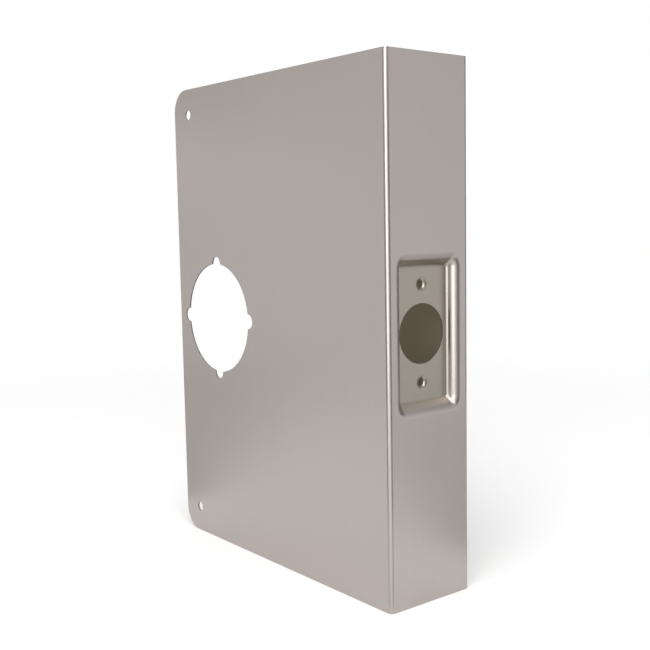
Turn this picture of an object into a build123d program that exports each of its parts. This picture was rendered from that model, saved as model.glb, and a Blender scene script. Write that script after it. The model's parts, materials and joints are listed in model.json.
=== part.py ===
"""Door wrap plate: one stainless sheet folded round the edge of a door, with a drawn latch pocket.

The origin is the centre of the lock bore, in the middle of the door's thickness.
X runs towards the door's edge, Y through the door, Z up. All sizes are in millimetres.
"""

import os
from math import cos, radians, tan

from build123d import *

# Door and sheet
door_thickness = 44.45
sheet = 0.76
bend_radius_inside = 1.24
plate_height = 228.6

# Lock bore through both faces, with notches on its rim for the lock's through posts.
# The backset runs to the outside of the edge, which is the door's edge once the plate is on
backset = 127.0
lock_bore_diameter = 53.975
notch_diameter = 7.0
notch_count = 4
face_beyond_bore = 8.5
free_corner_radius = 11.1

# Screw holes at the free corners of both faces
fixing_hole_diameter = 4.8
fixing_inset_from_free_edge = 13.0
fixing_inset_from_end = 12.7

# Latch: its bore, and how far its front plate stands out beyond the bore and beyond its screws
latch_bore_diameter = 25.4
latch_front_beside_bore = 1.5875
latch_screw_spacing = 41.275
latch_front_beyond_screw = 7.9375

# Drawn pocket that lets the latch front in: its sides are steep, and its ends lie back
# and leave some room beyond the latch front at the mouth
pocket_end_room = 3.5
pocket_depth = 4.7625
pocket_side_draft = 15.0
pocket_end_draft = 40.0
pocket_floor_radius = 1.9
pocket_rim_radius = 4.35

# Dimples in the pocket floor for the latch front's countersunk screws
latch_screw_hole_diameter = 3.0
latch_screw_hole_length = 0.25
dimple_diameter = 4.25
dimple_angle = 60.0
dimple_rim_radius = 2.1

# A rounding takes at most this share of the room it has
rounding_share = 0.98

# Folded sheet
outside_width = door_thickness + 2 * sheet
bend_radius_outside = bend_radius_inside + sheet
edge_outside = backset
edge_inside = edge_outside - sheet
free_edge = -lock_bore_diameter / 2 - face_beyond_bore
fixing_x = free_edge + fixing_inset_from_free_edge
fixing_spacing = plate_height - 2 * fixing_inset_from_end

# Pocket: its width is that of its floor, and its height is worked back from its mouth
floor_front = edge_outside - pocket_depth
floor_back = floor_front - sheet
mouth_height = latch_screw_spacing + 2 * latch_front_beyond_screw + 2 * pocket_end_room
pocket_width = latch_bore_diameter + 2 * latch_front_beside_bore
pocket_height = mouth_height - 2 * pocket_depth * tan(radians(pocket_end_draft))
side_spread = pocket_depth * tan(radians(pocket_side_draft))

# Pocket roundings, held to the steep wall between them and to the flat beside the mouth
wall_reach = tan(radians(90 - pocket_side_draft) / 2)
wall_length = pocket_depth / cos(radians(pocket_side_draft))
wall_use = (pocket_rim_radius + pocket_floor_radius) * wall_reach / wall_length
wall_limit = min(1.0, rounding_share / wall_use)
flat_beside_mouth = outside_width / 2 - bend_radius_outside - pocket_width / 2 - side_spread
rim_radius = min(pocket_rim_radius * wall_limit, rounding_share * flat_beside_mouth / wall_reach)
floor_radius = pocket_floor_radius * wall_limit

# Dimples: a cone with the sheet's thickness and a wide rounding, ending in a short straight hole
dimple_side = dimple_angle / 2
dimple_slope = tan(radians(dimple_side))
dimple_depth = (dimple_diameter - latch_screw_hole_diameter) / 2 / dimple_slope
dimple_reach = dimple_depth + latch_screw_hole_length
dimple_back_radius = dimple_diameter / 2 + sheet / cos(radians(dimple_side)) - sheet * dimple_slope
dimple_wall = dimple_depth / cos(radians(dimple_side))
dimple_back_wall = (dimple_reach - sheet) / cos(radians(dimple_side))
dimple_wall_reach = tan(radians(90 - dimple_side) / 2)
dimple_rounding = min(dimple_rim_radius, rounding_share * dimple_wall / dimple_wall_reach)
dimple_back_rounding = min(dimple_rounding - sheet, rounding_share * dimple_back_wall / dimple_wall_reach)
latch_screw_places = [(0, -latch_screw_spacing / 2), (0, latch_screw_spacing / 2)]


def looking_in(x):
    """Sketch plane across X that faces into the door, with its second axis up."""
    return Plane(origin=(x, 0, 0), x_dir=(0, -1, 0), z_dir=(-1, 0, 0))


def flat_face_at(builder, x):
    """Flat face across X that lies nearest to x."""
    return builder.faces().filter_by(Axis.X).sort_by(lambda face: abs(face.center().X - x))[0]


def rims_in(face):
    """Edges round every hollow or boss that starts in a flat face."""
    return [wire.edges() for wire in face.inner_wires()]


def pocket_section(floor_size, draft, growth):
    """Section across a pair of drafted pocket walls, with the walls and the floor moved out evenly."""
    slope = tan(radians(draft))
    half_floor = floor_size / 2 + growth / cos(radians(draft)) - growth * slope
    half_mouth = half_floor + pocket_depth * slope
    floor = floor_front - growth
    mouth = edge_outside - growth
    return Polygon(
        (floor, -half_floor),
        (mouth, -half_mouth),
        (mouth, half_mouth),
        (floor, half_floor),
        align=None,
    )


def pocket_form(growth):
    """The pocket as a solid, grown evenly: what its side and end walls enclose, with rounded corners."""
    with BuildPart(mode=Mode.PRIVATE) as form:
        with BuildSketch(Plane.XY):
            pocket_section(pocket_width, pocket_side_draft, growth)
        extrude(amount=mouth_height, both=True)
        with BuildSketch(Plane.XZ):
            pocket_section(pocket_height, pocket_end_draft, growth)
        extrude(amount=outside_width, both=True, mode=Mode.INTERSECT)
        mouth_edges = form.faces().sort_by(Axis.X)[-1].edges()
        fillet(form.edges() - mouth_edges, floor_radius + growth)
    return form.part


with BuildPart() as wrap_plate:
    # Folded sheet: a U seen from above, carried up the full height
    with BuildSketch(Plane.XY.offset(-plate_height / 2)):
        with BuildLine():
            fold = FilletPolyline(
                (free_edge, -outside_width / 2),
                (edge_outside, -outside_width / 2),
                (edge_outside, outside_width / 2),
                (free_edge, outside_width / 2),
                radius=bend_radius_outside,
            )
            offset(fold, amount=-sheet, side=Side.LEFT)
        make_face()
    extrude(amount=plate_height)
    fillet(wrap_plate.edges().filter_by(Axis.Y).group_by(Axis.X)[0], free_corner_radius)

    # Back of the drawn pocket, bulging into the door
    add(pocket_form(sheet))
    fillet(rims_in(flat_face_at(wrap_plate, edge_inside)), rim_radius - sheet)

    # Front of the drawn pocket
    add(pocket_form(0), mode=Mode.SUBTRACT)
    fillet(rims_in(flat_face_at(wrap_plate, edge_outside)), rim_radius)

    # Dimpled screw holes and the latch bore in the pocket floor
    with BuildSketch(looking_in(floor_back)):
        with Locations(*latch_screw_places):
            Circle(dimple_back_radius)
    extrude(amount=dimple_reach - sheet, taper=dimple_side)
    fillet(rims_in(flat_face_at(wrap_plate, floor_back)), dimple_back_rounding)
    with BuildSketch(looking_in(floor_front)):
        with Locations(*latch_screw_places):
            Circle(dimple_diameter / 2)
    extrude(amount=dimple_depth, taper=dimple_side, mode=Mode.SUBTRACT)
    fillet(rims_in(flat_face_at(wrap_plate, floor_front)), dimple_rounding)
    with BuildSketch(looking_in(floor_front)):
        with Locations(*latch_screw_places):
            Circle(latch_screw_hole_diameter / 2)
        Circle(latch_bore_diameter / 2)
    extrude(amount=dimple_reach, mode=Mode.SUBTRACT)

    # Lock bore, its notches and the fixing holes, through both faces
    with BuildSketch(Plane.XZ):
        Circle(lock_bore_diameter / 2)
        with PolarLocations(lock_bore_diameter / 2, notch_count):
            Circle(notch_diameter / 2)
        with Locations((fixing_x, -fixing_spacing / 2), (fixing_x, fixing_spacing / 2)):
            Circle(fixing_hole_diameter / 2)
    extrude(amount=outside_width, both=True, mode=Mode.SUBTRACT)

wrap_plate.part.label = "wrap_plate"

os.makedirs("parts", exist_ok=True)
export_step(wrap_plate.part, "parts/wrap_plate.step")
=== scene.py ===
"""Dresses the door wrap plate: one folded sheet with a drawn latch pocket, in satin stainless steel.

The sheet starts as a flat blank. It is cut there, and its points are then carried through the drawn
pocket and the two bends. A place on the blank is (u, z): u runs round the fold from the middle of the
edge face, negative towards the near face and positive towards the far face, and z runs up.
All lengths are in metres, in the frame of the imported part.
"""

import json
from math import pi
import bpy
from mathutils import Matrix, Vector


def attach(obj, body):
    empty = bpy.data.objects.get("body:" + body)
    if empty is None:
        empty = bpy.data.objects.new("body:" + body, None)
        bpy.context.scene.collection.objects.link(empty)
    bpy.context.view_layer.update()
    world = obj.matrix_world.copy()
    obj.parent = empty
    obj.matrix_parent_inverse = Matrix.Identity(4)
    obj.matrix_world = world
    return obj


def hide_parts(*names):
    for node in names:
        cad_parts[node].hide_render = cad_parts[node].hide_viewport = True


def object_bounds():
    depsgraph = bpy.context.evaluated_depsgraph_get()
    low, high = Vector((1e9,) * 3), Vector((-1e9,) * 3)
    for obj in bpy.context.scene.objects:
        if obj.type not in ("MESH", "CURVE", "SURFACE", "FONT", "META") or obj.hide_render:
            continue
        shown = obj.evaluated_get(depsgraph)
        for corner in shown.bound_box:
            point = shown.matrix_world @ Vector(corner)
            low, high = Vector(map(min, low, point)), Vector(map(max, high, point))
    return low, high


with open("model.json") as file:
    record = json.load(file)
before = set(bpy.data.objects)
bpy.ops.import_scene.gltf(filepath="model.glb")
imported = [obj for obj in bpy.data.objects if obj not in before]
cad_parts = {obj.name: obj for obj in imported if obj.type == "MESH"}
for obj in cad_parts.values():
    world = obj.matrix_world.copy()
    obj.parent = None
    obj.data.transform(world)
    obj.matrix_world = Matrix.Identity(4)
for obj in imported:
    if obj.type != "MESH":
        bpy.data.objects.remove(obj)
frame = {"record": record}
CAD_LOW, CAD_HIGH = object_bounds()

from types import SimpleNamespace

import bmesh
import bpy
import numpy as np
from bpy.props import FloatProperty, FloatVectorProperty, IntProperty, PointerProperty
from mathutils import Matrix, Vector
from mathutils.geometry import delaunay_2d_cdt

bl_info = {
    "name": "Door wrap plate",
    "version": (1, 0, 0),
    "blender": (4, 5, 0),
    "location": "View3D > Sidebar > Wrap plate",
    "description": "Builds a folded door wrap plate in satin steel over its packed part, in a studio",
    "category": "Mesh",
}

MM = 0.001
NODE = "wrap_plate"
BODY = "root"
SENSOR_WIDTH = 36.0
NET_TOLERANCE_MM = 1e-5
WELD_DISTANCE = 0.001 * MM
TINY = 1e-12
LIGHT_AIM = Vector((0.05, 0.0, 0.0))
MOUNTS = {mount["name"]: mount for mount in frame["record"]["mounts"]}


# Sizes and colours that a user may change

def length(name, description, millimetres):
    """A length property, given in millimetres and kept in metres."""
    return FloatProperty(
        name=name, description=description, default=millimetres * MM, min=0.0, precision=5, unit="LENGTH"
    )


def angle(name, description, degrees):
    """An angle property, given in degrees and kept in radians."""
    return FloatProperty(name=name, description=description, default=np.radians(degrees), subtype="ANGLE")


def colour(name, description, red, green, blue):
    """A linear colour property."""
    return FloatVectorProperty(
        name=name, description=description, default=(red, green, blue), min=0.0, max=1.0, subtype="COLOR"
    )


def factor(name, description, value, highest=1.0):
    """A plain number from nought to its highest."""
    return FloatProperty(
        name=name, description=description, default=value, min=0.0, max=highest, subtype="FACTOR"
    )


def count(name, description, number):
    """A whole number of at least one."""
    return IntProperty(name=name, description=description, default=number, min=1, subtype="UNSIGNED")


def power(name, description, watts):
    """A lamp's power in watts."""
    return FloatProperty(name=name, description=description, default=watts, min=0.0, unit="POWER")


class WrapPlateSizes(bpy.types.PropertyGroup):
    """Sizes of the sheet that neither the frame's box nor its mounts give."""

    bend_radius: length("Bend radius", "Outside radius of the two bends", 2.0)
    free_corner_radius: length("Free corner radius", "Rounding of the faces' free corners", 11.1)
    notch_diameter: length("Notch diameter", "Round notches on the rim of the lock bore", 7.0)
    notch_count: count("Notches", "Notches on the rim of each lock bore", 4)
    pocket_width: length("Pocket width", "Width of the pocket at its floor", 28.575)
    pocket_mouth_height: length("Pocket mouth height", "Height between the end walls at the edge face", 64.15)
    pocket_depth: length("Pocket depth", "Depth of the pocket's floor under the edge face", 4.7625)
    pocket_side_draft: angle("Pocket side draft", "Lean of the pocket's side walls", 15.0)
    pocket_end_draft: angle("Pocket end draft", "Lean of the pocket's end walls", 40.0)
    pocket_floor_radius: length("Pocket floor radius", "Rounding of the pocket's floor and corners", 1.9)
    pocket_rim_radius: length("Pocket rim radius", "Rounding between the pocket and the edge face", 4.35)
    dimple_diameter: length("Dimple diameter", "Diameter of a dimple's cone at the pocket's floor", 4.25)
    dimple_angle: angle("Dimple angle", "Full angle of a dimple's cone", 60.0)
    dimple_rim_radius: length("Dimple rim radius", "Rounding round the mouth of a dimple", 2.1)
    cut_rounding: length("Cut edge rounding", "Rounding of the sheared edges", 0.1)
    grid_step: length("Grid step", "Spacing of the mesh on flat parts", 5.0)
    arc_steps: count("Arc steps", "Mesh steps across each rounding", 12)


class WrapPlateFinish(bpy.types.PropertyGroup):
    """Colours and roughness of the steel."""

    steel_colour: colour("Steel", "Colour of the satin outside", 0.445, 0.404, 0.382)
    steel_roughness: factor("Steel roughness", "Roughness of the satin outside", 0.3)
    steel_anisotropy: factor("Steel anisotropy", "Stretch of the satin outside's highlights", 0.35)
    # Drawn steel: the pocket's own tint with painted shade, darker down the pocket to its floor
    drawn_and_shade_colour: colour("Drawn steel", "Colour of the outside where the pocket is drawn", 0.36, 0.325, 0.28)
    mill_colour: colour("Mill finish", "Colour of the unbrushed inside", 0.49, 0.445, 0.355)
    mill_roughness: factor("Mill roughness", "Roughness of the unbrushed inside", 0.68)
    cut_colour: colour("Cut edge", "Colour of the sheared edges", 0.36, 0.335, 0.32)
    cut_roughness: factor("Cut edge roughness", "Roughness of the sheared edges", 0.42)
    grain_pitch: length("Grain pitch", "Width of one stroke of the upright grain", 0.9)
    grain_length: length("Grain length", "Length of one stroke of the upright grain", 60.0)
    wave_length: length("Wave length", "Length of the faint waves in the rolled sheet", 90.0)
    wave_height: length("Wave height", "Height of the faint waves in the rolled sheet", 0.05)


class WrapPlateStage(bpy.types.PropertyGroup):
    """Camera, floor, backdrop, studio light and the cards in the steel's reflections."""

    azimuth: angle("Azimuth", "Turn of the camera about the plate, from straight at the near face", 51.697)
    elevation: angle("Elevation", "Height of the camera above the horizon", 6.206)
    roll: angle("Roll", "Turn of the camera about its own line of sight", -1.064)
    distance: length("Distance", "How far the camera stands back from the lock bore's centre", 505.624)
    aside: length("Aside", "How far the camera stands to its right of that line", 35.62)
    below: length("Below", "How far the camera stands below that line", 5.396)
    focal_length: length("Focal length", "Focal length of the camera on a sensor 36 mm wide", 54.491)
    floor_colour: colour("Floor", "Colour of the floor", 0.9, 0.9, 0.9)
    floor_reach: length("Floor reach", "Half the length of the floor's sides", 800.0)
    floor_fade_start: length("Floor fade start", "How far from the lock bore the floor starts to fade", 200.0)
    floor_fade_end: length("Floor fade end", "How far from the lock bore the floor has faded away", 750.0)
    ceiling: factor("Ceiling", "Strength of the backdrop overhead in reflections, where 1 is white", 0.62)
    ceiling_start: angle("Ceiling start", "Height above the horizon where the backdrop has greyed", 50.0)
    ambient: factor("Ambient", "Strength of the light that the backdrop throws on the floor", 0.77, 4.0)
    key_power: power("Key light", "Power of the softbox beside the camera", 6.8)
    top_power: power("Top light", "Power of the softbox above the camera", 11.5)
    side_power: power("Side light", "Power of the softbox to the right of the camera", 2.2)
    flag_colour: colour("Flags", "Colour of the dark cards beside the bends", 0.145, 0.14, 0.135)
    shade_colour: colour("Shades", "Colour of the grey cards that dim reflections", 0.6, 0.59, 0.57)


# Shape of the sheet

def plate_sizes(panel):
    """Every length of the sheet, worked out from the frame's box, its mounts and the panel's sizes."""
    size = SimpleNamespace()
    size.sheet = MOUNTS["latch_bore"]["dims"]["length_mm"] * MM
    size.cut = panel.cut_rounding

    # Mesh: its step on flats and its steps round curves, then how finely the rolling balls are followed
    size.step = panel.grid_step
    size.arc_steps = panel.arc_steps
    size.corner_steps = 2 * panel.arc_steps
    size.hole_steps = 3 * panel.arc_steps
    size.bore_steps = 8 * panel.arc_steps
    size.path_steps = 8 * panel.arc_steps
    size.rise_steps = 25 * panel.arc_steps

    # Fold: the flat of the edge face, then a quarter turn, then a face that runs back to its free edge
    size.edge = CAD_HIGH.x
    size.half_height = CAD_HIGH.z
    size.bend = panel.bend_radius
    size.flat = CAD_HIGH.y - size.bend
    size.bend_end = size.flat + size.bend * pi / 2
    size.face_start = size.edge - size.bend
    size.reach = size.bend_end + size.face_start - CAD_LOW.x
    size.free_corner = panel.free_corner_radius

    # Holes
    size.lock_bore = MOUNTS["lock_bore"]["dims"]["r_mm"] * MM
    size.lock_bore_u = size.bend_end + size.face_start - MOUNTS["lock_bore"]["pos_m"][0]
    size.notch = panel.notch_diameter / 2
    size.notch_count = panel.notch_count
    size.fixing = MOUNTS["near_face_screws"]["dims"]["hole_r_mm"] * MM
    size.fixing_u = size.bend_end + size.face_start - MOUNTS["near_face_screws"]["pos_m"][0]
    size.fixing_z = MOUNTS["near_face_screws"]["dims"]["spacing_y_mm"] * MM / 2
    size.latch_bore = MOUNTS["latch_bore"]["dims"]["r_mm"] * MM
    size.latch_screw = MOUNTS["latch_screws"]["dims"]["hole_r_mm"] * MM
    size.latch_screw_z = MOUNTS["latch_screws"]["dims"]["spacing_y_mm"] * MM / 2

    # Pocket: its drafted walls, and the flat of its floor, which its rounding leaves
    size.pocket_depth = panel.pocket_depth
    size.floor_radius = panel.pocket_floor_radius
    size.rim_radius = panel.pocket_rim_radius
    size.drafts = np.array((panel.pocket_side_draft, panel.pocket_end_draft))
    size.wall_slope = np.tan(size.drafts)
    end_spread = size.pocket_depth * size.wall_slope[1]
    floor_half = np.array((panel.pocket_width / 2, panel.pocket_mouth_height / 2 - end_spread))
    size.floor_half = floor_half - size.floor_radius * np.tan((pi / 2 - size.drafts) / 2)

    # Dimples
    size.dimple_lean = pi / 2 - panel.dimple_angle / 2
    size.dimple_rounding = panel.dimple_rim_radius
    size.dimple_end = panel.dimple_diameter / 2 + size.dimple_rounding * np.tan(size.dimple_lean / 2)
    return size


def rounded_fall(inwards, radius, lean):
    """Fall and slope a distance inwards of a rounded edge's start: down a circle's arc, then straight on."""
    arc_end = radius * np.sin(lean)
    on_arc = np.clip(inwards, 0.0, arc_end)
    height = np.sqrt(radius**2 - on_arc**2)
    fall = radius - height + np.clip(inwards - arc_end, 0.0, None) * np.tan(lean)
    return fall, on_arc / height


def rim_path(size, steps):
    """Path of a ball that rolls in the steel under the pocket's rim, in one quarter, from side to end.

    The directions from the wall into the steel, as (u, z, height), turn evenly round the corner. The ball
    lies its radius under the edge face and, in those directions, its radius from the wall.
    """
    side = np.array((np.cos(size.drafts[0]), 0.0, -np.sin(size.drafts[0])))
    end = np.array((0.0, np.cos(size.drafts[1]), -np.sin(size.drafts[1])))
    corner = np.arccos(side @ end)
    turn = np.linspace(0.0, corner, steps + 1)[:, None]
    into = (np.sin(corner - turn) * side + np.sin(turn) * end) / np.sin(corner)
    reach = size.floor_radius + size.rim_radius
    rise = size.pocket_depth - reach * (1 + into[:, 2:])
    return size.floor_half + rise * size.wall_slope + reach * into[:, :2], into[:, :2]


def rim_fall(size, place):
    """Fall and slope of the pocket's rim, and which places lie on it or outside it.

    The rim is rounded under the path of its ball, as a function of the distance inwards of that path.
    """
    corner, into = rim_path(size, size.path_steps)
    path = np.vstack(((corner[0, 0], 0.0), corner, (0.0, corner[-1, 1])))
    into = np.vstack((into[:1], into, into[-1:]))
    step = np.diff(path, axis=0)
    share = ((place[:, None] - path[:-1]) * step).sum(axis=-1) / (step**2).sum(axis=-1)
    share = np.clip(share, 0.0, 1.0)[..., None]
    gap = place[:, None] - path[:-1] - share * step
    row, nearest = np.arange(len(place)), (gap**2).sum(axis=-1).argmin(axis=1)
    into = into[nearest] + share[row, nearest] * np.diff(into, axis=0)[nearest]
    steepness = np.linalg.norm(into, axis=1)
    outwards = into / steepness[:, None]
    inwards = -(gap[row, nearest] * outwards).sum(axis=1)
    fall, slope = rounded_fall(inwards, size.rim_radius, np.arcsin(steepness))
    return fall, -slope[:, None] * outwards, inwards < size.rim_radius * steepness


def floor_height(size, place):
    """Height above the pocket's floor, and its slope.

    The surface is the underside of a ball that rolls in the pocket. The walls keep the ball's centre in a
    rectangle that widens with the centre's height. Of the balls at all heights, the one whose underside is
    lowest makes the surface.
    """
    rise = np.linspace(0.0, size.pocket_depth, size.rise_steps)
    centre = size.floor_half + rise[:, None] * size.wall_slope
    out = np.clip(place[:, None] - centre, 0.0, None)
    room = size.floor_radius**2 - (out**2).sum(axis=-1)
    under = np.sqrt(np.maximum(room, TINY))
    height = np.where(room > 0.0, size.floor_radius + rise - under, np.inf)
    row, lowest = np.arange(len(place)), height.argmin(axis=1)
    return height[row, lowest], out[row, lowest] / under[row, lowest, None]


def pocket_fall(size, blank):
    """Depth under the edge face, and its slope along u and z.

    The pocket's rim, walls and floor come first. Each of the two dimples in the floor is a cone with a
    rounded mouth, a function of the distance from its screw.
    """
    place = np.abs(blank)
    fall, slope, on_rim = rim_fall(size, place)
    height, climb = floor_height(size, place[~on_rim])
    fall[~on_rim] = size.pocket_depth - height
    slope[~on_rim] = -climb
    slope *= np.sign(blank)
    for screw_z in (-size.latch_screw_z, size.latch_screw_z):
        from_screw = blank - (0.0, screw_z)
        radius = np.hypot(from_screw[:, 0], from_screw[:, 1])
        dimple, dimple_slope = rounded_fall(size.dimple_end - radius, size.dimple_rounding, size.dimple_lean)
        fall = fall + dimple
        slope = slope - dimple_slope[:, None] * from_screw / np.maximum(radius, TINY)[:, None]
    return fall, slope


def folded(size, blank, depth=0.0):
    """Points of the folded sheet and the normals of its outside, at places on the blank.

    From the middle outwards a place lies on the flat edge face, sunk by the pocket's fall, then on a
    quarter circle, then on a flat face. The depth under the outside runs against the normal, so the
    sheet's thickness is even.
    """
    side = np.sign(blank[:, 0])
    along = np.abs(blank[:, 0])
    turn = np.clip((along - size.flat) / size.bend, 0.0, pi / 2)
    fall, slope = pocket_fall(size, blank)
    x = size.face_start + size.bend * np.cos(turn) - np.clip(along - size.bend_end, 0.0, None) - fall
    y = side * (np.minimum(along, size.flat) + size.bend * np.sin(turn))
    normal = np.column_stack((np.cos(turn), side * np.sin(turn) + slope[:, 0], slope[:, 1]))
    normal /= np.linalg.norm(normal, axis=1)[:, None]
    return np.column_stack((x, y, blank[:, 1])) - depth * normal, normal


# Cuts in the blank, each as a closed loop with the steel on its left

def arc(centre, radius, start, end, steps):
    """Points on a circle from one angle to another, without the last one."""
    turn = np.linspace(start, end, steps, endpoint=False)
    return np.array(centre) + radius * np.column_stack((np.cos(turn), np.sin(turn)))


def lock_bore_loop(size, centre_u, trim):
    """Loop of a lock bore: arcs of one large circle, joined by small circles centred on its rim.

    A small circle meets the large one where the cosine rule puts it. One arc and one notch are worked
    out, and turned about the centre for each notch.
    """
    bore = size.lock_bore + trim
    notch = size.notch + trim
    meet = np.arccos((bore**2 + size.lock_bore**2 - notch**2) / (2 * bore * size.lock_bore))
    swing = np.arctan2(bore * np.sin(meet), bore * np.cos(meet) - size.lock_bore)
    sector = 2 * pi / size.notch_count
    piece = np.vstack((
        arc((0.0, 0.0), bore, sector - meet, meet, size.hole_steps),
        arc((size.lock_bore, 0.0), notch, swing, -swing, size.corner_steps),
    ))
    turn = -sector * np.arange(size.notch_count)[:, None]
    u = piece[:, 0] * np.cos(turn) - piece[:, 1] * np.sin(turn)
    z = piece[:, 0] * np.sin(turn) + piece[:, 1] * np.cos(turn)
    return np.column_stack((centre_u + u.ravel(), z.ravel()))


def grid_lines(size):
    """Columns along u and rows along z: close together on the bends, evenly spaced on the flats."""
    bend = np.linspace(size.flat, size.bend_end, size.arc_steps + 1)
    face_length = size.reach - size.free_corner - size.bend_end
    face = np.linspace(size.bend_end, size.reach - size.free_corner, 1 + round(face_length / size.step))
    half = np.concatenate((bend, face[1:]))
    edge = np.linspace(-size.flat, size.flat, 2 + round(2 * size.flat / size.step))
    row_end = size.half_height - size.free_corner
    rows = np.linspace(-row_end, row_end, 1 + round(2 * row_end / size.step))
    return np.concatenate((-half[::-1], edge[1:-1], half)), rows


def outer_loop(size, trim):
    """Loop of the blank's own outline: a rectangle with rounded free corners, sampled on the grid lines."""
    columns, rows = grid_lines(size)
    reach, height = size.reach - trim, size.half_height - trim
    centre_u, centre_z = size.reach - size.free_corner, size.half_height - size.free_corner
    corner, steps = size.free_corner - trim, size.corner_steps
    right = np.column_stack((np.full(len(rows) - 1, reach), rows[:-1]))
    top = np.column_stack((columns[:0:-1], np.full(len(columns) - 1, height)))
    return np.vstack((
        right,
        arc((centre_u, centre_z), corner, 0.0, pi / 2, steps),
        top,
        arc((-centre_u, centre_z), corner, pi / 2, pi, steps),
        -right,
        arc((-centre_u, -centre_z), corner, pi, 3 * pi / 2, steps),
        -top,
        arc((centre_u, -centre_z), corner, 3 * pi / 2, 2 * pi, steps),
    ))


def cut_loops(size, trim):
    """All loops where the sheet was cut, moved into the steel by trim."""

    def hole(centre_u, centre_z, radius, steps):
        """A round hole, clockwise."""
        return arc((centre_u, centre_z), radius + trim, 2 * pi, 0.0, steps)

    loops = [outer_loop(size, trim)]
    for side in (-1, 1):
        loops.append(lock_bore_loop(size, side * size.lock_bore_u, trim))
        for z in (-size.fixing_z, size.fixing_z):
            loops.append(hole(side * size.fixing_u, z, size.fixing, size.hole_steps))
    loops.append(hole(0.0, 0.0, size.latch_bore, size.bore_steps))
    for z in (-size.latch_screw_z, size.latch_screw_z):
        loops.append(hole(0.0, z, size.latch_screw, size.hole_steps))
    return loops


def drawn_rings(size):
    """Rings across the pocket's walls and the dimples, close together where the sheet is rounded.

    A ring of the pocket is one quarter mirrored to the other three. A ring of a dimple is a circle.
    """
    share = np.linspace(0.0, 1.0, size.arc_steps + 1)
    path, into = rim_path(size, size.arc_steps)
    steepness = np.linalg.norm(into, axis=1)[:, None]
    rings = []
    for turn in share:
        reach = np.sin(turn * np.arcsin(steepness)) / steepness * into
        for quarter in (size.floor_half + size.floor_radius * reach, path - size.rim_radius * reach):
            back = quarter[::-1]
            ring = np.vstack((quarter, back * (-1, 1), -quarter, back * (1, -1)))
            rings.append(with_straights(ring, size.step))
    hole = size.latch_screw + size.cut
    mouth = size.dimple_end - size.dimple_rounding * np.sin(share[::2] * size.dimple_lean)
    cone_steps = 3
    cone = np.linspace(mouth[-1], hole, cone_steps + 1)[1:-1]
    radii = np.concatenate((mouth, cone))
    for radius in radii[radii > hole]:
        for screw_z in (-size.latch_screw_z, size.latch_screw_z):
            rings.append(arc((0.0, screw_z), radius, 0.0, 2 * pi, size.hole_steps))
    return rings


def with_straights(ring, step):
    """A closed ring with its long straights divided into pieces of about one step."""
    following = np.roll(ring, -1, axis=0)
    pieces = np.maximum(1, np.round(np.linalg.norm(following - ring, axis=1) / step).astype(int))
    start = np.repeat(np.arange(len(ring)), pieces)
    first = (np.cumsum(pieces) - pieces)[start]
    share = (np.arange(pieces.sum()) - first) / pieces[start]
    return ring[start] + share[:, None] * (following - ring)[start]


def inside_loops(points, loops):
    """Whether each point lies in the steel.

    A line from such a point to the right crosses the loops an odd number of times.
    """
    odd = np.zeros(len(points), bool)
    u, z = points[:, :1], points[:, 1:]
    for loop in loops:
        u0, z0 = loop.T
        u1, z1 = np.roll(loop, -1, axis=0).T
        level = (z0 > z) != (z1 > z)
        rise = np.where(z1 == z0, 1.0, z1 - z0)
        crossed = level & (u < u0 + (z - z0) * (u1 - u0) / rise)
        odd ^= crossed.sum(axis=1) % 2 == 1
    return odd


def flat_points(size):
    """Grid places on the flats and the bends, clear of every cut and of the drawn walls and dimples."""
    columns, rows = grid_lines(size)
    spare = np.array((size.half_height - size.free_corner / 2,))
    rows = np.concatenate((-spare, rows, spare))
    places = np.stack(np.meshgrid(columns, rows), axis=-1).reshape(-1, 2)
    clear = size.step / 3
    rim, _ = rim_path(size, 1)
    in_mouth = (np.abs(places) < (rim[0, 0] + clear, rim[-1, 1] + clear)).all(axis=1)
    on_floor = (np.abs(places) < size.floor_half - clear).all(axis=1)
    drawn = in_mouth & ~on_floor
    screw = np.hypot(places[:, 0], np.abs(places[:, 1]) - size.latch_screw_z) < size.dimple_end + clear
    return places[inside_loops(places, cut_loops(size, clear)) & ~drawn & ~screw]


def triangulated_blank(size):
    """The blank's places and triangles: a Delaunay net over the cut loops, the drawn rings and the grid."""
    loops = cut_loops(size, size.cut)
    closed = loops + drawn_rings(size)
    counts = np.array([len(loop) for loop in closed])
    starts = np.repeat(np.cumsum(counts) - counts, counts)
    index = np.arange(counts.sum())
    following = starts + (index - starts + 1) % np.repeat(counts, counts)
    places = np.vstack(closed + [flat_points(size)]) / MM
    edges = np.column_stack((index, following))
    net = delaunay_2d_cdt(places.tolist(), edges.tolist(), [], 0, NET_TOLERANCE_MM, False)
    blank = np.array(net[0], float) * MM
    triangles = np.array(net[2], int)
    triangles = triangles[inside_loops(blank[triangles].mean(axis=1), loops)]
    first, second = (blank[triangles[:, corner]] - blank[triangles[:, 0]] for corner in (1, 2))
    clockwise = first[:, 0] * second[:, 1] < first[:, 1] * second[:, 0]
    triangles[clockwise] = triangles[clockwise, ::-1]
    return blank, triangles


# Mesh of the sheet

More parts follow.
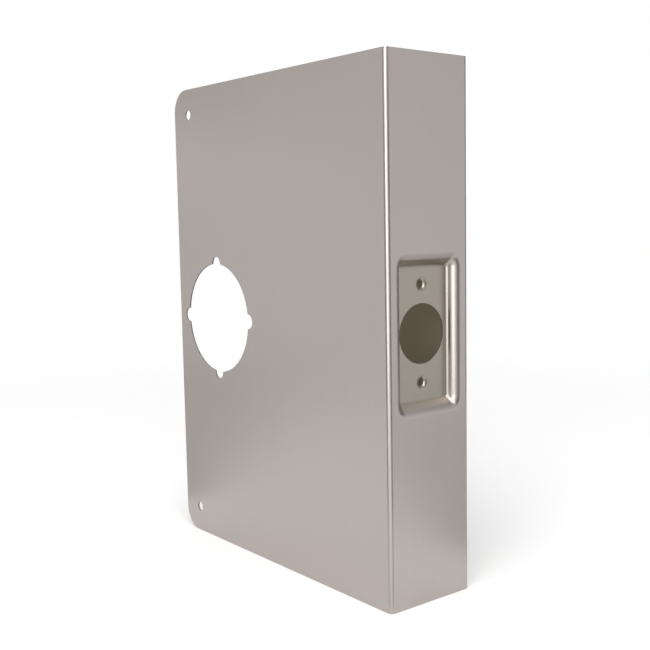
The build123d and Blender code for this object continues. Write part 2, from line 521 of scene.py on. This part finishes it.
def cut_wall(size, loop_number):
    """Points, normals and blank places of one cut edge, as rings from the outside to the inside.

    Its profile is a quarter round, a straight wall and another quarter round.
    """
    steps = 4
    lean = np.concatenate((np.linspace(0.0, pi / 2, steps), np.linspace(pi / 2, pi, steps)))
    trim = size.cut * (1 - np.sin(lean))
    upper = size.cut * (1 - np.cos(lean))
    lower = size.sheet - size.cut * (1 + np.cos(lean))
    depth = np.where(np.arange(2 * steps) < steps, upper, lower)
    true_edge = folded(size, cut_loops(size, 0.0)[loop_number], size.sheet / 2)[0]
    trimmed_edge = folded(size, cut_loops(size, size.cut)[loop_number], size.sheet / 2)[0]
    outwards = true_edge - trimmed_edge
    outwards /= np.linalg.norm(outwards, axis=1)[:, None]
    rings = []
    for ring_trim, ring_depth, ring_lean in zip(trim, depth, lean):
        blank = cut_loops(size, ring_trim)[loop_number]
        points, normal = folded(size, blank, ring_depth)
        rings.append((points, normal * np.cos(ring_lean) + outwards * np.sin(ring_lean), blank))
    return [np.stack(part) for part in zip(*rings)]


def ring_quads(rings, around):
    """Corner numbers of the quads between closed rings, facing away from the steel on the rings' left."""
    here = np.arange(around)
    there = (here + 1) % around
    base = around * np.arange(rings - 1)[:, None]
    quads = np.stack((base + here, base + around + here, base + around + there, base + there), axis=-1)
    return quads.reshape(-1, 4)


def sheet_mesh(size):
    """One closed mesh: the outside and the inside from the same net, joined by a wall along every cut."""
    blank, triangles = triangulated_blank(size)
    outside, normal = folded(size, blank)
    inside, _ = folded(size, blank, size.sheet)
    points, normals, places = [outside, inside], [normal, -normal], [blank, blank]
    walls = []
    used = 2 * len(blank)
    for loop_number in range(len(cut_loops(size, 0.0))):
        wall_points, wall_normals, wall_blank = cut_wall(size, loop_number)
        walls.append(ring_quads(*wall_points.shape[:2]) + used)
        points.append(wall_points.reshape(-1, 3))
        normals.append(wall_normals.reshape(-1, 3))
        places.append(wall_blank.reshape(-1, 2))
        used += wall_points.shape[0] * wall_points.shape[1]
    places = np.vstack(places)
    # How far each point is drawn, from the rim to the pocket's floor; the satin's colour darkens with it as
    # painted shade
    drawn = np.clip(pocket_fall(size, places)[0] / size.pocket_depth, 0.0, 1.0)
    faces = [triangles, triangles[:, ::-1] + len(blank), np.vstack(walls)]
    return welded_mesh(NODE + "_sheet", np.vstack(points), np.vstack(normals), places, drawn, faces)


def array_mesh(name, points, faces):
    """A mesh from whole arrays, each array of faces in the next material."""
    mesh = bpy.data.meshes.new(name)
    mesh.vertices.add(len(points))
    mesh.vertices.foreach_set("co", points.astype(np.float32).ravel())
    corners = np.concatenate([part.ravel() for part in faces])
    sides = np.concatenate([np.full(len(part), part.shape[1]) for part in faces])
    material = np.repeat(np.arange(len(faces)), [len(part) for part in faces])
    mesh.loops.add(len(corners))
    mesh.loops.foreach_set("vertex_index", corners.astype(np.int32))
    mesh.polygons.add(len(sides))
    mesh.polygons.foreach_set("loop_start", (np.cumsum(sides) - sides).astype(np.int32))
    mesh.polygons.foreach_set("material_index", material.astype(np.int32))
    mesh.update(calc_edges=True)
    return mesh


def weld(mesh):
    """Merges the equal points of a mesh."""
    working = bmesh.new()
    working.from_mesh(mesh)
    bmesh.ops.remove_doubles(working, verts=working.verts, dist=WELD_DISTANCE)
    working.to_mesh(mesh)
    working.free()


def welded_mesh(name, points, normals, places, drawn, faces):
    """A mesh from whole arrays, with its equal points merged.

    It keeps the given normals, the blank's places as its UV map, and how far each point is drawn, which sets
    the painted shade down the pocket.
    """
    mesh = array_mesh(name, points, faces)
    layer = mesh.attributes.new("drawn", "FLOAT", "POINT")
    layer.data.foreach_set("value", drawn.astype(np.float32))
    for attribute, values in (("kept_normal", normals), ("kept_place", np.pad(places, ((0, 0), (0, 1))))):
        layer = mesh.attributes.new(attribute, "FLOAT_VECTOR", "POINT")
        layer.data.foreach_set("vector", values.astype(np.float32).ravel())
    weld(mesh)
    kept = {}
    for attribute in ("kept_normal", "kept_place"):
        values = np.empty(3 * len(mesh.vertices), np.float32)
        mesh.attributes[attribute].data.foreach_get("vector", values)
        kept[attribute] = values.reshape(-1, 3)
        mesh.attributes.remove(mesh.attributes[attribute])
    vertex = np.empty(len(mesh.loops), np.int32)
    mesh.loops.foreach_get("vertex_index", vertex)
    blank_map = mesh.uv_layers.new(name="blank")
    blank_map.data.foreach_set("uv", kept["kept_place"][vertex, :2].ravel())
    mesh.shade_smooth()
    mesh.normals_split_custom_set_from_vertices(kept["kept_normal"].tolist())
    return mesh


# Materials

def new_material(name):
    """An empty node material with its output and its metal shader."""
    material = bpy.data.materials.new(name)
    material.use_nodes = True
    tree = material.node_tree
    tree.nodes.clear()
    output = tree.nodes.new("ShaderNodeOutputMaterial")
    shader = tree.nodes.new("ShaderNodeBsdfPrincipled")
    shader.inputs["Metallic"].default_value = 1.0
    tree.links.new(shader.outputs["BSDF"], output.inputs["Surface"])
    return material, tree, shader


def steel_grain_group():
    """Node group of the rolled and brushed sheet: upright strokes, faint waves and cloudy patches.

    Each is a noise over the blank, stretched to the stroke's pitch and length or to the wave's length.
    The blank is in metres, and its places are divided by those lengths.
    """
    tree = bpy.data.node_groups.new("steel grain", "ShaderNodeTree")
    for name in ("Pitch", "Length", "Wave Length"):
        tree.interface.new_socket(name, in_out="INPUT", socket_type="NodeSocketFloat")
    for name in ("Strokes", "Waves", "Clouds"):
        tree.interface.new_socket(name, in_out="OUTPUT", socket_type="NodeSocketFloat")
    nodes, links = tree.nodes, tree.links
    given = nodes.new("NodeGroupInput")
    result = nodes.new("NodeGroupOutput")
    place = nodes.new("ShaderNodeUVMap")
    place.uv_map = "blank"

    def stretched(u_socket, z_socket):
        """The place on the blank, with u and z each divided by a length."""
        scale = nodes.new("ShaderNodeCombineXYZ")
        scale.inputs["Z"].default_value = 1.0
        links.new(u_socket, scale.inputs["X"])
        links.new(z_socket, scale.inputs["Y"])
        divide = nodes.new("ShaderNodeVectorMath")
        divide.operation = "DIVIDE"
        links.new(place.outputs["UV"], divide.inputs[0])
        links.new(scale.outputs["Vector"], divide.inputs[1])
        return divide.outputs["Vector"]

    def noise(vector, detail, output):
        """A noise over a stretched place, sent to one of the group's outputs."""
        texture = nodes.new("ShaderNodeTexNoise")
        texture.noise_dimensions = "2D"
        texture.inputs["Scale"].default_value = 1.0
        texture.inputs["Detail"].default_value = detail
        links.new(vector, texture.inputs["Vector"])
        links.new(texture.outputs["Fac"], result.inputs[output])

    pitch, stroke_length, wave_length = (given.outputs[name] for name in ("Pitch", "Length", "Wave Length"))
    noise(stretched(pitch, stroke_length), detail=3.0, output="Strokes")
    noise(stretched(wave_length, wave_length), detail=0.0, output="Waves")
    noise(stretched(stroke_length, wave_length), detail=2.0, output="Clouds")
    return tree


def add_grain(tree, group, pitch, stroke_length, wave_length):
    """Places the grain group in a material with its own lengths."""
    grain = tree.nodes.new("ShaderNodeGroup")
    grain.node_tree = group
    grain.inputs["Pitch"].default_value = pitch
    grain.inputs["Length"].default_value = stroke_length
    grain.inputs["Wave Length"].default_value = wave_length
    return grain


def varied(tree, noise, middle, spread):
    """A noise from about a quarter to three quarters, stretched to run a spread either side of a middle."""
    stretch = tree.nodes.new("ShaderNodeMapRange")
    stretch.inputs["From Min"].default_value = 0.25
    stretch.inputs["From Max"].default_value = 0.75
    stretch.inputs["To Min"].default_value = middle - spread
    stretch.inputs["To Max"].default_value = middle + spread
    tree.links.new(noise, stretch.inputs["Value"])
    return stretch.outputs["Result"]


def scaled(tree, tint, share):
    """A colour, given as numbers or by another node, times a share that changes over the surface."""
    shade = tree.nodes.new("ShaderNodeVectorMath")
    shade.operation = "SCALE"
    if isinstance(tint, bpy.types.NodeSocket):
        tree.links.new(tint, shade.inputs[0])
    else:
        shade.inputs[0].default_value = tint
    tree.links.new(share, shade.inputs["Scale"])
    return shade.outputs["Vector"]


def added(tree, first, second):
    """The sum of two values."""
    total = tree.nodes.new("ShaderNodeMath")
    total.operation = "ADD"
    tree.links.new(first, total.inputs[0])
    tree.links.new(second, total.inputs[1])
    return total.outputs["Value"]


def drawn_tint_and_shade(tree, finish):
    """The satin outside's colour, turning down the pocket to the drawn steel's tint with painted shade,
    darkest on its floor.
    """
    drawn = tree.nodes.new("ShaderNodeAttribute")
    drawn.attribute_name = "drawn"
    tint = tree.nodes.new("ShaderNodeValToRGB")
    tint.color_ramp.elements[0].color = (*finish.steel_colour, 1.0)
    tint.color_ramp.elements[1].color = (*finish.drawn_and_shade_colour, 1.0)
    tree.links.new(drawn.outputs["Fac"], tint.inputs["Fac"])
    return tint.outputs["Color"]


def satin_steel(finish, group):
    """Satin outside: strokes and clouds in its colour, strokes in its roughness, waves in its normal."""
    material, tree, shader = new_material("satin steel")
    grain = add_grain(tree, group, finish.grain_pitch, finish.grain_length, finish.wave_length)
    stroke_tone = varied(tree, grain.outputs["Strokes"], middle=0.5, spread=0.015)
    cloud_tone = varied(tree, grain.outputs["Clouds"], middle=0.5, spread=0.01)
    tone = added(tree, stroke_tone, cloud_tone)
    # Colour: strokes and clouds on the satin, darkened down the pocket by the drawn steel's tint and painted
    # shade
    tree.links.new(scaled(tree, drawn_tint_and_shade(tree, finish), tone), shader.inputs["Base Color"])
    roughness = varied(tree, grain.outputs["Strokes"], finish.steel_roughness, spread=0.02)
    tree.links.new(roughness, shader.inputs["Roughness"])
    bump = tree.nodes.new("ShaderNodeBump")
    bump.inputs["Distance"].default_value = finish.wave_height
    tree.links.new(grain.outputs["Waves"], bump.inputs["Height"])
    tree.links.new(bump.outputs["Normal"], shader.inputs["Normal"])
    shader.inputs["Anisotropic"].default_value = finish.steel_anisotropy
    tangent = tree.nodes.new("ShaderNodeTangent")
    tangent.direction_type = "UV_MAP"
    tangent.uv_map = "blank"
    tree.links.new(tangent.outputs["Tangent"], shader.inputs["Tangent"])
    return material


def mill_finish(finish, group):
    """Mill finish of the inside: cloudy and duller than the satin side, without its strokes."""
    material, tree, shader = new_material("mill finish")
    grain = add_grain(tree, group, finish.grain_length, finish.grain_length, finish.wave_length)
    tone = varied(tree, grain.outputs["Clouds"], middle=1.0, spread=0.04)
    tree.links.new(scaled(tree, finish.mill_colour, tone), shader.inputs["Base Color"])
    roughness = varied(tree, grain.outputs["Strokes"], finish.mill_roughness, spread=0.03)
    tree.links.new(roughness, shader.inputs["Roughness"])
    return material


def sheared_edge(finish, group):
    """Sheared edge: a little darker and rougher than the faces, with short marks across the thickness."""
    material, tree, shader = new_material("sheared edge")
    grain = add_grain(tree, group, finish.grain_pitch, finish.grain_pitch, finish.grain_length)
    tone = varied(tree, grain.outputs["Strokes"], middle=1.0, spread=0.1)
    tree.links.new(scaled(tree, finish.cut_colour, tone), shader.inputs["Base Color"])
    roughness = varied(tree, grain.outputs["Strokes"], finish.cut_roughness, spread=0.06)
    tree.links.new(roughness, shader.inputs["Roughness"])
    return material


# Stage

def stage_material(name, tint):
    """A matt material of one colour for the floor and the cards, which aren't part of the object."""
    material = bpy.data.materials.new(name)
    material.use_nodes = True
    shader = material.node_tree.nodes["Principled BSDF"]
    shader.inputs["Base Color"].default_value = (*tint, 1.0)
    shader.inputs["Roughness"].default_value = 1.0
    shader.inputs["Specular IOR Level"].default_value = 0.0
    return material


def stage_card(name, corners, material):
    """A flat stage piece with four corners."""
    mesh = bpy.data.meshes.new(name)
    mesh.from_pydata(corners, [], [(0, 1, 2, 3)])
    mesh.materials.append(material)
    card = bpy.data.objects.new(name, mesh)
    bpy.context.scene.collection.objects.link(card)
    return card


def studio_floor(stage):
    """A matt pale floor under the plate that fades into the white backdrop, so no horizon shows."""
    material = stage_material("floor", stage.floor_colour)
    tree = material.node_tree
    place = tree.nodes.new("ShaderNodeTexCoord")
    away = tree.nodes.new("ShaderNodeVectorMath")
    away.operation = "LENGTH"
    tree.links.new(place.outputs["Object"], away.inputs[0])
    fade = tree.nodes.new("ShaderNodeMapRange")
    fade.interpolation_type = "SMOOTHSTEP"
    fade.inputs["From Min"].default_value = stage.floor_fade_start
    fade.inputs["From Max"].default_value = stage.floor_fade_end
    fade.inputs["To Min"].default_value = 1.0
    fade.inputs["To Max"].default_value = 0.0
    tree.links.new(away.outputs["Value"], fade.inputs["Value"])
    tree.links.new(fade.outputs["Result"], tree.nodes["Principled BSDF"].inputs["Alpha"])
    corners = [
        (along * stage.floor_reach, across * stage.floor_reach, CAD_LOW.z)
        for along, across in ((-1, -1), (1, -1), (1, 1), (-1, 1))
    ]
    stage_card("floor", corners, material)


def heading(azimuth, elevation=0.0):
    """Direction at an azimuth and elevation in degrees; azimuth 0 is straight off the near face."""
    turn, rise = np.radians(azimuth), np.radians(elevation)
    return Vector((np.sin(turn) * np.cos(rise), -np.cos(turn) * np.cos(rise), np.sin(rise)))


def reflected_only(card):
    """Keeps a card out of the picture and off the floor's light, so that only the steel shows it."""
    card.visible_camera = False
    card.visible_diffuse = False
    card.visible_shadow = False


def floor_card(name, start, azimuth, half_angle, near, far, material):
    """A card that lies on the floor and shows in the steel only: a wedge that opens from a point."""
    start = Vector((start.x, start.y, CAD_LOW.z + MM))
    left, right = heading(azimuth - half_angle), heading(azimuth + half_angle)
    corners = [start + left * near, start + right * near, start + right * far, start + left * far]
    reflected_only(stage_card(name, corners, material))


def upright_card(name, start, azimuth, half_angle, away, low, high, material):
    """A card that stands away from a point, from a low to a high level, and shows in the steel only."""
    left, right = heading(azimuth - half_angle) * away, heading(azimuth + half_angle) * away
    corners = [
        (start.x + side.x, start.y + side.y, level)
        for side, level in ((left, low), (right, low), (right, high), (left, high))
    ]
    reflected_only(stage_card(name, corners, material))


def reflection_cards(stage):
    """Cards that only the steel shows: dark ones beside its bends, and grey ones before its flat faces."""
    flag = stage_material("flag", stage.flag_colour)
    shade = stage_material("shade", stage.shade_colour)
    near_fold = Vector((CAD_HIGH.x, CAD_LOW.y, 0.0))
    far_fold = Vector((CAD_HIGH.x, CAD_HIGH.y, 0.0))
    free_edge = Vector((CAD_LOW.x, CAD_LOW.y, 0.0))
    floor = CAD_LOW.z

    # Near bend: on each side of its highlight a short grey card, then a dark one that turns up at its end
    foot, dark, end, top = 0.004, 0.13, 1.0, 0.33
    for name, azimuth, half_angle in (("left", -15.0, 13.0), ("right", 93.0, 16.0)):
        floor_card(name + " foot shade", near_fold, azimuth, half_angle, foot, dark, shade)
        floor_card(name + " floor flag", near_fold, azimuth, half_angle, dark, end, flag)
        upright_card(name + " upright flag", near_fold, azimuth, half_angle, end, floor, top, flag)

    # Edge face: a grey card before it, and beyond the far bend a grey card that turns up into a dark one
    floor_card("back shade", far_fold, azimuth=138.0, half_angle=15.0, near=0.05, far=0.45, material=shade)
    azimuth, half_angle, end = 178.0, 26.0, 0.5
    floor_card("far shade", far_fold, azimuth, half_angle, near=0.03, far=end, material=shade)
    upright_card("far flag", far_fold, azimuth, half_angle, end, low=floor, high=0.3, material=flag)

    # Near face: a grey card on the floor, one that hangs above its end, and one that stands beside it
    end = 0.65
    floor_card("left shade", free_edge, azimuth=-61.0, half_angle=15.0, near=0.05, far=end, material=shade)
    for name, azimuth, half_angle, low, high in (
        ("high shade", -62.0, 12.0, 0.16, 0.45),
        ("side shade", -76.0, 14.0, floor, 0.08),
    ):
        upright_card(name, free_edge, azimuth, half_angle, end, low, high, shade)


def softbox(name, azimuth, elevation, away, width, height, watts):
    """An area light in a direction from the lock bore, turned towards the middle of the plate."""
    light = bpy.data.lights.new(name, "AREA")
    light.shape = "RECTANGLE"
    light.size = width
    light.size_y = height
    light.energy = watts
    lamp = bpy.data.objects.new(name, light)
    lamp.location = heading(azimuth, elevation) * away
    lamp.rotation_euler = (LIGHT_AIM - lamp.location).to_track_quat("-Z", "Y").to_euler()
    lamp.visible_camera = False
    bpy.context.scene.collection.objects.link(lamp)


def studio_lights(stage):
    """Three softboxes: a tall one beside the camera, a large one above it and a small one to its right."""
    for name, azimuth, elevation, away, width, height, watts in (
        ("key softbox", 38.0, 13.0, 1.3, 0.7, 1.1, stage.key_power),
        ("top softbox", 45.0, 60.0, 1.6, 1.2, 1.2, stage.top_power),
        ("side softbox", 72.0, 34.0, 1.3, 0.55, 0.5, stage.side_power),
    ):
        softbox(name, azimuth, elevation, away, width, height, watts)


def white_world(stage):
    """World light: a white backdrop that greys overhead in reflections, and plain light for the rest."""
    world = bpy.data.worlds.new("studio")
    bpy.context.scene.world = world
    world.use_nodes = True
    tree = world.node_tree
    nodes, links = tree.nodes, tree.links
    nodes.clear()
    paths = nodes.new("ShaderNodeLightPath")

    def highest(first, second):
        """The larger of two values."""
        larger = nodes.new("ShaderNodeMath")
        larger.operation = "MAXIMUM"
        links.new(first, larger.inputs[0])
        links.new(second, larger.inputs[1])
        return larger.outputs["Value"]

    place = nodes.new("ShaderNodeTexCoord")
    split = nodes.new("ShaderNodeSeparateXYZ")
    links.new(place.outputs["Generated"], split.inputs["Vector"])
    fade = nodes.new("ShaderNodeMapRange")
    fade.inputs["From Min"].default_value = 0.0
    fade.inputs["From Max"].default_value = np.sin(stage.ceiling_start)
    fade.inputs["To Min"].default_value = 1.0
    fade.inputs["To Max"].default_value = stage.ceiling
    links.new(split.outputs["Z"], fade.inputs["Value"])

    plain = nodes.new("ShaderNodeBackground")
    plain.inputs["Strength"].default_value = stage.ambient
    backdrop = nodes.new("ShaderNodeBackground")
    links.new(highest(fade.outputs["Result"], paths.outputs["Is Camera Ray"]), backdrop.inputs["Strength"])
    for background in (plain, backdrop):
        background.inputs["Color"].default_value = (1.0, 1.0, 1.0, 1.0)
    seen = highest(paths.outputs["Is Camera Ray"], paths.outputs["Is Glossy Ray"])
    mix = nodes.new("ShaderNodeMixShader")
    links.new(highest(seen, paths.outputs["Is Transmission Ray"]), mix.inputs["Fac"])
    links.new(plain.outputs["Background"], mix.inputs[1])
    links.new(backdrop.outputs["Background"], mix.inputs[2])
    output = nodes.new("ShaderNodeOutputWorld")
    links.new(mix.outputs["Shader"], output.inputs["Surface"])


def photo_camera(stage):
    """Camera on its line of sight through the lock bore, moved aside and below it, and rolled about it."""
    back = heading(np.degrees(stage.azimuth), np.degrees(stage.elevation))
    level = Vector((0.0, 0.0, 1.0)).cross(back).normalized()
    upright = back.cross(level)
    right = level * np.cos(stage.roll) + upright * np.sin(stage.roll)
    up = upright * np.cos(stage.roll) - level * np.sin(stage.roll)
    data = bpy.data.cameras.new("photo view")
    data.sensor_width = SENSOR_WIDTH
    data.lens = stage.focal_length / MM
    camera = bpy.data.objects.new("photo view", data)
    turn = Matrix((right, up, back)).transposed().to_4x4()
    place = back * stage.distance + right * stage.aside - up * stage.below
    camera.matrix_world = Matrix.Translation(place) @ turn
    bpy.context.scene.collection.objects.link(camera)
    bpy.context.scene.camera = camera


# Operators

class WRAPPLATE_OT_sheet(bpy.types.Operator):
    """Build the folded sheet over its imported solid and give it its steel"""

    bl_idname = "wrapplate.sheet"
    bl_label = "Build sheet"

    def execute(self, context):
        size = plate_sizes(context.scene.wrap_plate_sizes)
        mesh = sheet_mesh(size)
        group = steel_grain_group()
        for finished in (satin_steel, mill_finish, sheared_edge):
            mesh.materials.append(finished(context.scene.wrap_plate_finish, group))
        piece = bpy.data.objects.new(NODE + "_sheet", mesh)
        context.scene.collection.objects.link(piece)
        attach(piece, BODY)
        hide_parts(NODE)
        return {"FINISHED"}


class WRAPPLATE_OT_stage(bpy.types.Operator):
    """Set up the floor, the cards, the studio light and the camera"""

    bl_idname = "wrapplate.stage"
    bl_label = "Set up stage"

    def execute(self, context):
        stage = context.scene.wrap_plate_stage
        context.scene.view_settings.view_transform = "Standard"
        studio_floor(stage)
        reflection_cards(stage)
        studio_lights(stage)
        white_world(stage)
        photo_camera(stage)
        return {"FINISHED"}


class WRAPPLATE_PT_panel(bpy.types.Panel):
    """Sidebar panel with the plate's sizes, its finish and its stage"""

    bl_idname = "WRAPPLATE_PT_panel"
    bl_label = "Door wrap plate"
    bl_space_type = "VIEW_3D"
    bl_region_type = "UI"
    bl_category = "Wrap plate"

    def draw(self, context):
        scene = context.scene
        for group in (scene.wrap_plate_sizes, scene.wrap_plate_finish, scene.wrap_plate_stage):
            box = self.layout.box()
            for name in group.__annotations__:
                box.prop(group, name)
        self.layout.operator(WRAPPLATE_OT_sheet.bl_idname)
        self.layout.operator(WRAPPLATE_OT_stage.bl_idname)


CLASSES = (
    WrapPlateSizes,
    WrapPlateFinish,
    WrapPlateStage,
    WRAPPLATE_OT_sheet,
    WRAPPLATE_OT_stage,
    WRAPPLATE_PT_panel,
)


def register():
    """Registers the classes and hangs the settings on the scene."""
    for item in CLASSES:
        bpy.utils.register_class(item)
    bpy.types.Scene.wrap_plate_sizes = PointerProperty(type=WrapPlateSizes)
    bpy.types.Scene.wrap_plate_finish = PointerProperty(type=WrapPlateFinish)
    bpy.types.Scene.wrap_plate_stage = PointerProperty(type=WrapPlateStage)


def unregister():
    """Takes the settings off the scene and unregisters the classes."""
    del bpy.types.Scene.wrap_plate_stage
    del bpy.types.Scene.wrap_plate_finish
    del bpy.types.Scene.wrap_plate_sizes
    for item in reversed(CLASSES):
        bpy.utils.unregister_class(item)


def main():
    """Builds the sheet and the stage."""
    register()
    bpy.ops.wrapplate.sheet()
    bpy.ops.wrapplate.stage()


if __name__ == "__main__":
    main()
